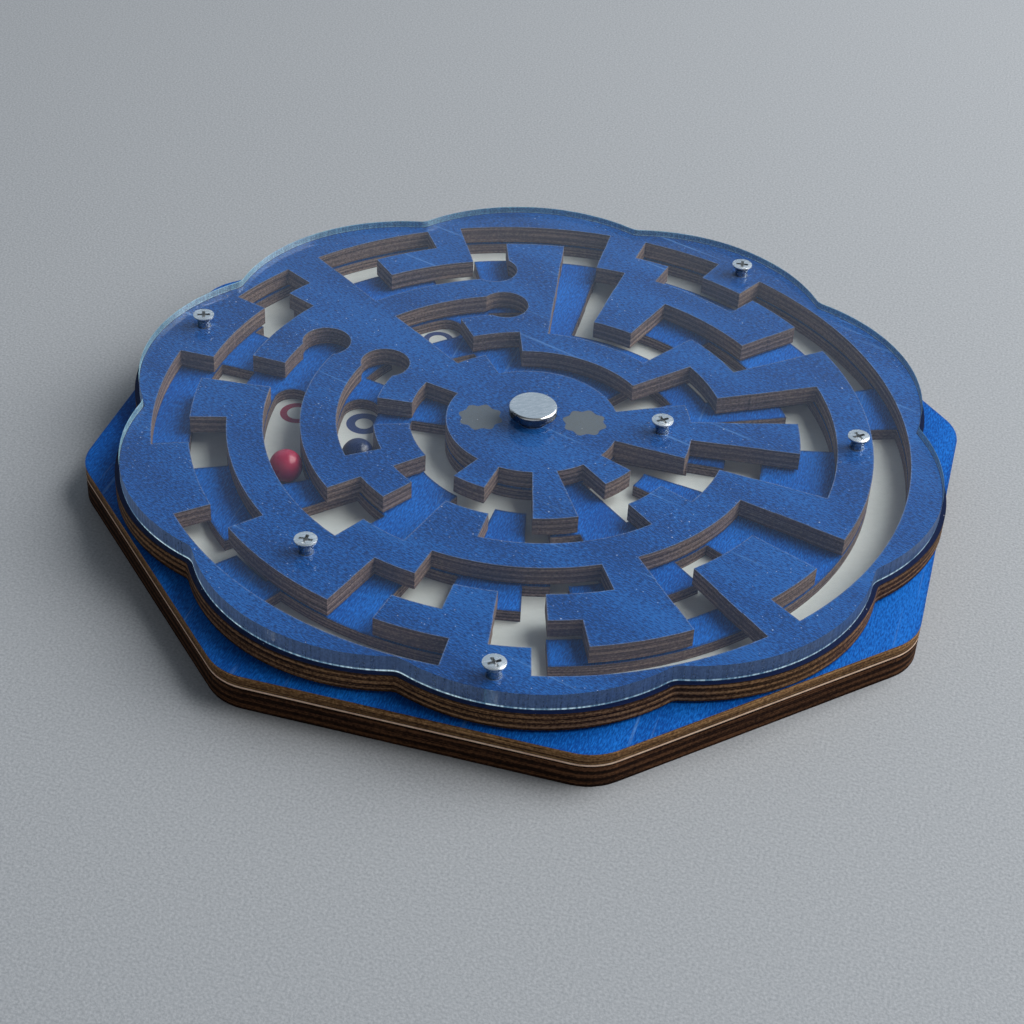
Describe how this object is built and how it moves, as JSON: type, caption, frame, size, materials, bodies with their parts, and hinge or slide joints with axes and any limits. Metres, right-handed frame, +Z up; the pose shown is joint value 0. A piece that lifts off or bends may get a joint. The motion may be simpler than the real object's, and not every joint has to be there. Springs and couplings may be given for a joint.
{
  "type": "dexterity puzzle",
  "caption": "Ball labyrinth of stained plywood: a lobed disc with cut channels under a clear cover turns on an octagonal base with channels of its own, and balls run in both layers.",
  "frame": {"origin": "centre of the base's underside, on the pivot's axis", "axes": "+Z up along the pivot, X and Y through the middles of the base's flat sides"},
  "size_m": [0.172, 0.171, 0.0181],
  "materials": {
    "natural_ply": "bare plywood, edges darkened by the laser",
    "card": "matte cream card",
    "stained_base_ply": "blue stain, satin, edges darkened by the laser",
    "stained_disc_ply": "blue stain, satin, edges darkened by the laser",
    "clear_acrylic": "clear, polished",
    "bright_metal": "polished",
    "washer_steel": "plain",
    "red_coat": "glossy",
    "blue_coat": "glossy"
  },
  "bodies": {
    "base": {"base_plate": "natural_ply", "channel_card": "card", "lower_maze": "stained_base_ply", "spacer_washer": "washer_steel", "pivot_barrel": "bright_metal", "pivot_cap": "bright_metal"},
    "disc": {"upper_maze": "stained_disc_ply", "clear_cover": "clear_acrylic", "cover_screw_1": "bright_metal", "cover_screw_2": "bright_metal", "cover_screw_3": "bright_metal", "cover_screw_4": "bright_metal", "cover_screw_5": "bright_metal", "cover_screw_6": "bright_metal"},
    "red_ball": {"red_ball": "red_coat"},
    "blue_ball": {"blue_ball": "blue_coat"}
  },
  "joints": [
    {"name": "disc_turn", "type": "hinge", "parent": "base", "child": "disc", "pos_m": [0, 0, 0.0085], "axis": [0, 0, 1], "range_deg": [-0.5, 20]},
    {"name": "red_ball_roll", "type": "hinge", "parent": "base", "child": "red_ball", "pos_m": [0, 0, 0.00885], "axis": [0, 0, 1], "range_deg": [-26.5, 0.5]},
    {"name": "blue_ball_roll", "type": "hinge", "parent": "base", "child": "blue_ball", "pos_m": [0, 0, 0.00885], "axis": [0, 0, 1], "range_deg": [-24.5, 0]}
  ]
}
